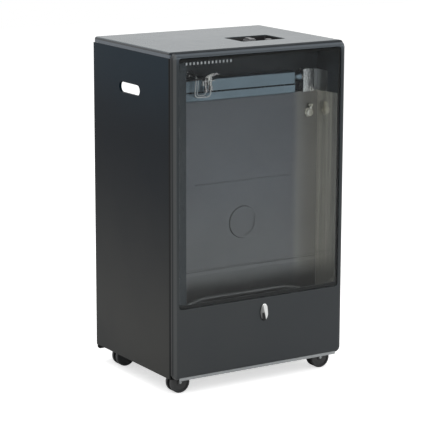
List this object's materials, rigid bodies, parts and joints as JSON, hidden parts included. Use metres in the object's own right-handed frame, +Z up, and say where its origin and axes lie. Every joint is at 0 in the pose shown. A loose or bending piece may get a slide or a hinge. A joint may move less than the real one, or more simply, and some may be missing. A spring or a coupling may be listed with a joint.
{
  "type": "portable gas cabinet heater",
  "caption": "Tall sheet-metal cabinet on castors with a glazed front, polished reflector chamber, slotted burner strip, recessed top controls and a tilting louvred rear cover.",
  "frame": {"origin": "on the floor under the middle of the cabinet's footprint", "axes": "+Z up; the glass front faces -Y; +X is to the right of someone facing the front"},
  "size_m": [0.43, 0.346, 0.73],
  "materials": {
    "front_paint": "charcoal satin paint",
    "side_paint": "charcoal satin paint",
    "rear_paint": "charcoal satin paint",
    "lid_paint": "charcoal semi gloss paint",
    "galvanised": "galvanised sheet",
    "reflector_steel": "polished sheet",
    "burner_steel": "brushed",
    "bright_steel": "bright plated",
    "rail_steel": "polished tube",
    "screw_steel": "bright zinc",
    "spring_steel": "bright",
    "brass_fitting": "machined",
    "gas_pipe": "drawn tube",
    "valve_body": "cast",
    "port_strip": "heat darkened",
    "dark_housing": "matt black",
    "dark_strip": "matt black",
    "pilot_metal": "heat tinted",
    "electrode_ceramic": "glazed ceramic",
    "lead_sleeve": "silicone sleeve",
    "seal_cord": "woven glass fibre",
    "window_glass": "clear polished",
    "badge_metal": "satin chrome",
    "well_plastic": "fine texture",
    "knob_plastic": "satin",
    "button_plastic": "satin",
    "igniter_plastic": "moulded",
    "castor_plate": "zinc plated",
    "castor_hood": "moulded",
    "castor_wheel": "moulded nylon"
  },
  "bodies": {
    "cabinet": {"badge": "badge_metal", "base_pan": "galvanised", "bulkhead_fitting": "brass_fitting", "burner_box": "burner_steel", "burner_feed_pipe": "gas_pipe", "burner_lip": "burner_steel", "burner_ports": "port_strip", "castor_plates": "castor_plate", "chamber_floor": "reflector_steel", "control_well": "well_plastic", "cover_catches": "spring_steel", "cover_pins": "spring_steel", "front_panel": "front_paint", "gas_valve": "valve_body", "glass_pane": "window_glass", "glass_seal": "seal_cord", "heat_shield": "galvanised", "hose_nozzle": "brass_fitting", "igniter_body": "igniter_plastic", "ignition_lead": "lead_sleeve", "injector": "brass_fitting", "injector_bracket": "bright_steel", "lead_cover_strip": "dark_strip", "left_side_panel": "side_paint", "lid": "lid_paint", "lower_rail": "rail_steel", "lower_rail_screws": "screw_steel", "pilot_bracket": "bright_steel", "pilot_burner": "pilot_metal", "pilot_pipe": "gas_pipe", "rear_frame": "galvanised", "rear_frame_screws": "screw_steel", "reflector_back": "reflector_steel", "reflector_left_wall": "reflector_steel", "reflector_right_wall": "reflector_steel", "right_side_panel": "side_paint", "riser_pipe": "gas_pipe", "spark_electrode": "electrode_ceramic", "thermocouple": "pilot_metal", "thermocouple_lead": "gas_pipe", "upper_housing": "dark_housing", "valve_bracket": "bright_steel", "venturi_tube": "burner_steel"},
    "valve_stem": {"valve_stem": "spring_steel"},
    "control_knob": {"control_knob": "knob_plastic"},
    "igniter_button": {"igniter_button": "button_plastic"},
    "rear_cover": {"rear_cover": "rear_paint"},
    "castor_front_left_swivel": {"castor_front_left_hood": "castor_hood"},
    "castor_front_left_roller": {"castor_front_left_wheels": "castor_wheel", "castor_front_left_axle": "castor_plate"},
    "castor_front_right_swivel": {"castor_front_right_hood": "castor_hood"},
    "castor_front_right_roller": {"castor_front_right_wheels": "castor_wheel", "castor_front_right_axle": "castor_plate"},
    "castor_rear_left_swivel": {"castor_rear_left_hood": "castor_hood"},
    "castor_rear_left_roller": {"castor_rear_left_wheels": "castor_wheel", "castor_rear_left_axle": "castor_plate"},
    "castor_rear_right_swivel": {"castor_rear_right_hood": "castor_hood"},
    "castor_rear_right_roller": {"castor_rear_right_wheels": "castor_wheel", "castor_rear_right_axle": "castor_plate"}
  },
  "joints": [
    {"name": "valve_push", "type": "slide", "parent": "cabinet", "child": "valve_stem", "axis": [0, 0, -1], "range_m": [0, 0.004], "stiffness_N_per_m": 800},
    {"name": "knob_turn", "type": "hinge", "parent": "valve_stem", "child": "control_knob", "pos_m": [0.061, -0.026, 0.72], "axis": [0, 0, 1], "range_deg": [0, 180]},
    {"name": "igniter_push", "type": "slide", "parent": "cabinet", "child": "igniter_button", "axis": [0, 0, -1], "range_m": [0, 0.005], "stiffness_N_per_m": 900},
    {"name": "rear_cover_tilt", "type": "hinge", "parent": "cabinet", "child": "rear_cover", "pos_m": [0, 0.1615, 0.046], "axis": [-1, 0, 0], "range_deg": [0, 50]},
    {"name": "castor_front_left_turn", "type": "hinge", "parent": "cabinet", "child": "castor_front_left_swivel", "pos_m": [-0.165, -0.127, 0.05], "axis": [0, 0, 1], "continuous": true},
    {"name": "castor_front_left_roll", "type": "hinge", "parent": "castor_front_left_swivel", "child": "castor_front_left_roller", "pos_m": [-0.181, -0.127, 0.023], "axis": [0, 1, 0], "continuous": true},
    {"name": "castor_front_right_turn", "type": "hinge", "parent": "cabinet", "child": "castor_front_right_swivel", "pos_m": [0.165, -0.127, 0.05], "axis": [0, 0, 1], "continuous": true},
    {"name": "castor_front_right_roll", "type": "hinge", "parent": "castor_front_right_swivel", "child": "castor_front_right_roller", "pos_m": [0.181, -0.127, 0.023], "axis": [0, 1, 0], "continuous": true},
    {"name": "castor_rear_left_turn", "type": "hinge", "parent": "cabinet", "child": "castor_rear_left_swivel", "pos_m": [-0.165, 0.108, 0.05], "axis": [0, 0, 1], "continuous": true},
    {"name": "castor_rear_left_roll", "type": "hinge", "parent": "castor_rear_left_swivel", "child": "castor_rear_left_roller", "pos_m": [-0.181, 0.108, 0.023], "axis": [0, 1, 0], "continuous": true},
    {"name": "castor_rear_right_turn", "type": "hinge", "parent": "cabinet", "child": "castor_rear_right_swivel", "pos_m": [0.165, 0.108, 0.05], "axis": [0, 0, 1], "continuous": true},
    {"name": "castor_rear_right_roll", "type": "hinge", "parent": "castor_rear_right_swivel", "child": "castor_rear_right_roller", "pos_m": [0.181, 0.108, 0.023], "axis": [0, 1, 0], "continuous": true}
  ]
}
